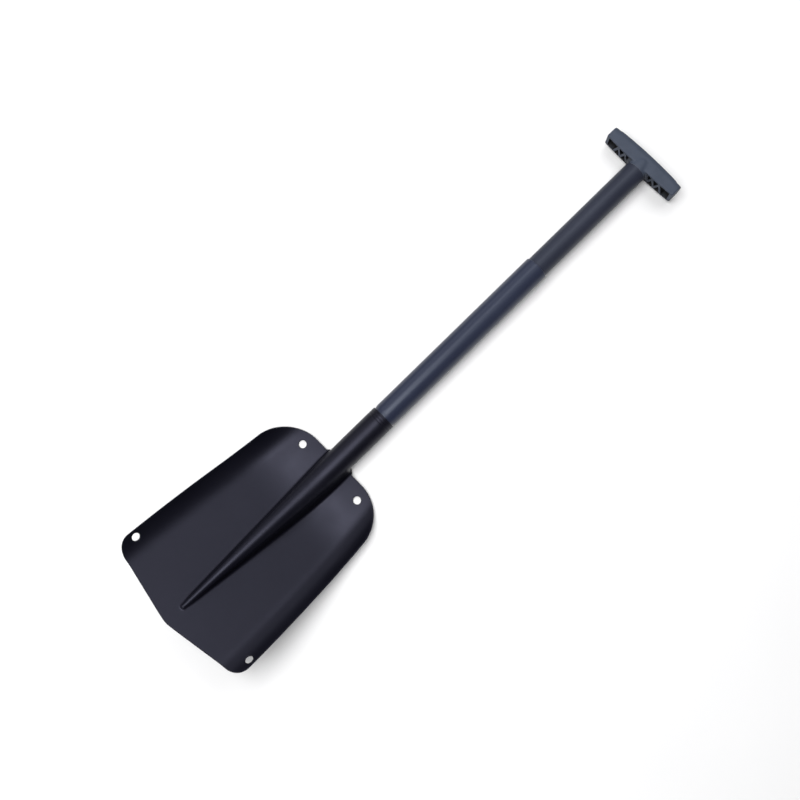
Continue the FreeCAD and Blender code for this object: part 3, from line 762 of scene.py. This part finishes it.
def add_noise(tree, scale, detail, stretch=(1.0, 1.0, 1.0)):
    """Noise in the object's own space, with so many features to the metre."""
    place = tree.nodes.new("ShaderNodeTexCoord")
    mapping = tree.nodes.new("ShaderNodeMapping")
    mapping.inputs["Scale"].default_value = stretch
    noise = tree.nodes.new("ShaderNodeTexNoise")
    noise.inputs["Scale"].default_value = scale
    noise.inputs["Detail"].default_value = detail
    tree.links.new(place.outputs["Object"], mapping.inputs["Vector"])
    tree.links.new(mapping.outputs["Vector"], noise.inputs["Vector"])
    return noise.outputs["Fac"]


def add_range(tree, value, low, high, from_low=0.3, from_high=0.7):
    """Maps a value to the range from low to high, clamped."""
    node = tree.nodes.new("ShaderNodeMapRange")
    node.inputs["From Min"].default_value = from_low
    node.inputs["From Max"].default_value = from_high
    node.inputs["To Min"].default_value = low
    node.inputs["To Max"].default_value = high
    tree.links.new(value, node.inputs["Value"])
    return node.outputs["Result"]


def add_mix(tree, share, first, second):
    """Mixes two colours by a share. Either may be a socket or a plain colour."""
    node = tree.nodes.new("ShaderNodeMix")
    node.data_type = "RGBA"
    tree.links.new(share, node.inputs["Factor"])
    for socket, colour in ((node.inputs[6], first), (node.inputs[7], second)):
        if isinstance(colour, tuple):
            socket.default_value = (*colour, 1.0)
        else:
            tree.links.new(colour, socket)
    return node.outputs[2]


def add_bump(tree, height, strength, distance, normal=None):
    """The shading normal, tilted by a height. distance is the height's range in metres."""
    node = tree.nodes.new("ShaderNodeBump")
    node.inputs["Strength"].default_value = strength
    node.inputs["Distance"].default_value = distance
    tree.links.new(height, node.inputs["Height"])
    if normal is not None:
        tree.links.new(normal, node.inputs["Normal"])
    return node.outputs["Normal"]


def edge_wear(tree, radius):
    """1 on sharp edges and 0 elsewhere, broken up by noise. radius is how far the wear reaches."""
    geometry = tree.nodes.new("ShaderNodeNewGeometry")
    rounded_edge = tree.nodes.new("ShaderNodeBevel")
    rounded_edge.samples = 4
    rounded_edge.inputs["Radius"].default_value = radius
    likeness = tree.nodes.new("ShaderNodeVectorMath")
    likeness.operation = "DOT_PRODUCT"
    tree.links.new(geometry.outputs["Normal"], likeness.inputs[0])
    tree.links.new(rounded_edge.outputs["Normal"], likeness.inputs[1])
    edges = add_range(tree, likeness.outputs["Value"], 1.0, 0.0, 0.86, 0.97)
    patches = add_range(tree, add_noise(tree, 160.0, 6.0), 0.15, 1.0, 0.42, 0.62)
    both = tree.nodes.new("ShaderNodeMath")
    both.operation = "MULTIPLY"
    tree.links.new(edges, both.inputs[0])
    tree.links.new(patches, both.inputs[1])
    return both.outputs[0]


def powder_coat():
    """Charcoal powder coat on pressed sheet: fine orange peel, rubbed along its edges."""
    material, tree, shader = new_material("powder_coat")
    clouds = add_range(tree, add_noise(tree, 14.0, 4.0), 0.0, 1.0, 0.35, 0.65)
    colour = add_mix(tree, clouds, (0.0036, 0.0036, 0.0066), (0.0046, 0.0046, 0.0080))
    worn = edge_wear(tree, 0.0006)
    colour = add_mix(tree, worn, colour, (0.045, 0.046, 0.052))
    tree.links.new(colour, shader.inputs["Base Color"])
    gloss = add_range(tree, add_noise(tree, 30.0, 5.0), 0.36, 0.43)
    tree.links.new(gloss, shader.inputs["Roughness"])
    peel = add_bump(tree, add_noise(tree, 900.0, 2.0), 0.10, 0.0003)
    grain = add_bump(tree, add_noise(tree, 3500.0, 2.0), 0.10, 0.0001, peel)
    tree.links.new(grain, shader.inputs["Normal"])
    shader.inputs["Specular IOR Level"].default_value = 0.24
    shader.inputs["Specular Tint"].default_value = (0.73, 0.74, 1.0, 1.0)
    return material


def anodised(name, dark, light, rough, shine):
    """Anodised aluminium tube with faint lines drawn along it."""
    material, tree, shader = new_material(name)
    lines = add_noise(tree, 900.0, 3.0, (0.02, 1.0, 1.0))
    clouds = add_range(tree, add_noise(tree, 11.0, 3.0), 0.0, 1.0, 0.35, 0.65)
    colour = add_mix(tree, clouds, dark, light)
    worn = edge_wear(tree, 0.0007)
    colour = add_mix(tree, worn, colour, (0.16, 0.165, 0.18))
    tree.links.new(colour, shader.inputs["Base Color"])
    tree.links.new(add_range(tree, lines, *rough), shader.inputs["Roughness"])
    drawn = add_bump(tree, lines, 0.05, 0.0002)
    tree.links.new(drawn, shader.inputs["Normal"])
    shader.inputs["Specular IOR Level"].default_value = shine
    shader.inputs["Specular Tint"].default_value = (0.80, 0.87, 1.0, 1.0)
    return material


def moulded_plastic(name, dark, light, rough, grain_scale, grain):
    """Matt moulded plastic with a fine spark-eroded grain, and painted shade darkening its hollows."""
    material, tree, shader = new_material(name)
    clouds = add_range(tree, add_noise(tree, 60.0, 4.0), 0.0, 1.0, 0.35, 0.65)
    colour = add_mix(tree, clouds, dark, light)
    worn = edge_wear(tree, 0.0005)
    colour = add_mix(tree, worn, colour, tuple(min(c * 1.9, 1.0) for c in light))
    # Painted shade: the colour runs to near black where ambient occlusion finds the surface enclosed,
    # as inside the grip's rib cells.
    hollows = tree.nodes.new("ShaderNodeAmbientOcclusion")
    hollows.samples = 8
    hollows.inputs["Distance"].default_value = 0.018
    painted_shade_open_share = add_range(tree, hollows.outputs["AO"], 0.0, 1.0, 0.56, 0.95)
    colour = add_mix(tree, painted_shade_open_share, tuple(c * 0.04 for c in dark), colour)
    tree.links.new(colour, shader.inputs["Base Color"])
    gloss = add_range(tree, add_noise(tree, 90.0, 4.0), rough - 0.05, rough + 0.05)
    tree.links.new(gloss, shader.inputs["Roughness"])
    texture = add_bump(tree, add_noise(tree, grain_scale, 3.0), grain, 0.0004)
    tree.links.new(texture, shader.inputs["Normal"])
    shader.inputs["Specular IOR Level"].default_value = 0.35
    return material


def steel(name, colour, rough, stretch):
    """Plain steel with fine machining lines."""
    material, tree, shader = new_material(name)
    lines = add_noise(tree, 2500.0, 3.0, stretch)
    tone = add_mix(tree, lines, tuple(c * 0.8 for c in colour), colour)
    tree.links.new(tone, shader.inputs["Base Color"])
    tree.links.new(add_range(tree, lines, rough - 0.06, rough + 0.08), shader.inputs["Roughness"])
    tree.links.new(add_bump(tree, lines, 0.08, 0.0001), shader.inputs["Normal"])
    shader.inputs["Metallic"].default_value = 1.0
    return material


def floor_paper():
    """Pale seamless paper."""
    material, tree, shader = new_material("floor_paper")
    tone = add_range(tree, add_noise(tree, 3.0, 3.0), 0.0, 1.0)
    colour = add_mix(tree, tone, (0.83, 0.83, 0.835), (0.85, 0.85, 0.855))
    tree.links.new(colour, shader.inputs["Base Color"])
    shader.inputs["Roughness"].default_value = 0.9
    fibre = add_bump(tree, add_noise(tree, 1200.0, 3.0), 0.05, 0.0002)
    tree.links.new(fibre, shader.inputs["Normal"])
    return material


def dress(piece, material):
    """Gives a piece this one material."""
    piece.data.materials.clear()
    piece.data.materials.append(material)


# ---------------------------------------------------------------- studio

CAMERA_LENS = 45.83
CAMERA_PLACE = (-0.0982, -0.1520, 1.2569)
CAMERA_RIGHT = (0.7144, -0.6981, -0.0463)
CAMERA_UP = (0.6974, 0.7053, 0.1263)


def make_floor():
    """A flat sheet of paper, a hair below the level that the shovel lies on."""
    half = 4000.0
    level = -0.2
    points = [(-half, -half, level), (half, -half, level), (half, half, level), (-half, half, level)]
    floor = make_object("floor", points, [(0, 1, 2, 3)])
    dress(floor, floor_paper())


def make_softbox(name, place, aim, size, power):
    """A rectangular area light at place, turned to aim."""
    light = bpy.data.lights.new(name, "AREA")
    light.shape = "RECTANGLE"
    light.size, light.size_y = size
    light.energy = power
    lamp = bpy.data.objects.new(name, light)
    bpy.context.scene.collection.objects.link(lamp)
    lamp.location = place
    towards = Vector(aim) - Vector(place)
    lamp.rotation_euler = towards.to_track_quat("-Z", "Y").to_euler()


def make_world(strength):
    """An even, colourless light from all round."""
    world = bpy.data.worlds.new("studio_air")
    world.use_nodes = True
    background = world.node_tree.nodes["Background"]
    background.inputs["Color"].default_value = (1.0, 1.0, 1.0, 1.0)
    background.inputs["Strength"].default_value = strength
    bpy.context.scene.world = world


def make_camera():
    """Above the blade and looking down the shaft, which runs to the picture's upper right."""
    camera = bpy.data.cameras.new("camera")
    camera.sensor_width = 36.0
    camera.lens = CAMERA_LENS
    camera.clip_start = 0.05
    view = bpy.data.objects.new("camera", camera)
    bpy.context.scene.collection.objects.link(view)
    right = Vector(CAMERA_RIGHT).normalized()
    back = right.cross(Vector(CAMERA_UP)).normalized()
    up = back.cross(right)
    turn = Matrix((right, up, back)).transposed()
    view.matrix_world = Matrix.Translation(Vector(CAMERA_PLACE)) @ turn.to_4x4()
    bpy.context.scene.camera = view


# ---------------------------------------------------------------- the whole picture


def dress_pieces(blade, grip_pieces, springs):
    """Gives every mesh piece and every CAD node that is carried over its material."""
    grip_plastic = moulded_plastic(
        "grip_plastic",
        dark=(0.036, 0.047, 0.073),
        light=(0.041, 0.053, 0.082),
        rough=0.62,
        grain_scale=1500.0,
        grain=0.35,
    )
    black_plastic = moulded_plastic(
        "black_plastic",
        dark=(0.010, 0.010, 0.011),
        light=(0.014, 0.014, 0.015),
        rough=0.5,
        grain_scale=2600.0,
        grain=0.12,
    )
    mid_tube = anodised(
        "mid_tube",
        dark=(0.019, 0.023, 0.044),
        light=(0.023, 0.028, 0.051),
        rough=(0.29, 0.36),
        shine=0.34,
    )
    upper_tube = anodised(
        "upper_tube",
        dark=(0.021, 0.024, 0.038),
        light=(0.025, 0.028, 0.044),
        rough=(0.38, 0.46),
        shine=0.26,
    )
    spring_steel = steel("spring_steel", (0.42, 0.43, 0.44), 0.38, (0.05, 1.0, 1.0))
    button_steel = steel("button_steel", (0.62, 0.62, 0.63), 0.28, (1.0, 1.0, 0.05))

    dress(blade, powder_coat())
    for piece in grip_pieces:
        dress(piece, grip_plastic)
    for piece in springs:
        dress(piece, spring_steel)
    coats = {
        "mid_shaft": mid_tube,
        "upper_shaft": upper_tube,
        "mid_shaft_plug": black_plastic,
        "upper_shaft_guide": black_plastic,
        "lower_snap_button": button_steel,
        "upper_snap_button": button_steel,
        "grip_pin": spring_steel,
    }
    for node, coat in coats.items():
        dress(NODES[node], coat)


def light_studio():
    """Broad soft light over the blade and beyond the grip, and a little more for the tubes."""
    make_world(0.05)
    make_softbox("overhead", (-0.85, 0.25, 2.2), (-0.85, 0.25, 0.0), (2.0, 2.1), 46.0)
    make_softbox("far_overhead", (1.80, 0.45, 2.2), (1.80, 0.45, 0.0), (1.9, 2.0), 28.0)
    make_softbox("side_fill", (0.4, 2.1, 1.5), (0.4, 0.0, 0.1), (3.0, 1.0), 13.0)
    make_softbox("strip", (0.45, 0.70, 2.0), (0.45, 0.0, 0.0), (3.0, 0.40), 9.0)
    make_softbox("neck_light", (-0.25, 0.02, 1.9), (-0.25, 0.02, 0.0), (0.6, 0.8), 11.0)


blade = make_blade()
grip_pieces = make_grip()
lower_spring = make_spring(
    "lower_leaf_spring", "lower_snap_spring", "mid_shaft"
)
upper_spring = make_spring(
    "upper_leaf_spring", "upper_snap_spring", "upper_shaft"
)
dress_pieces(blade, grip_pieces, [lower_spring, upper_spring])
make_floor()
light_studio()
make_camera()
bpy.context.scene.view_settings.view_transform = "Standard"
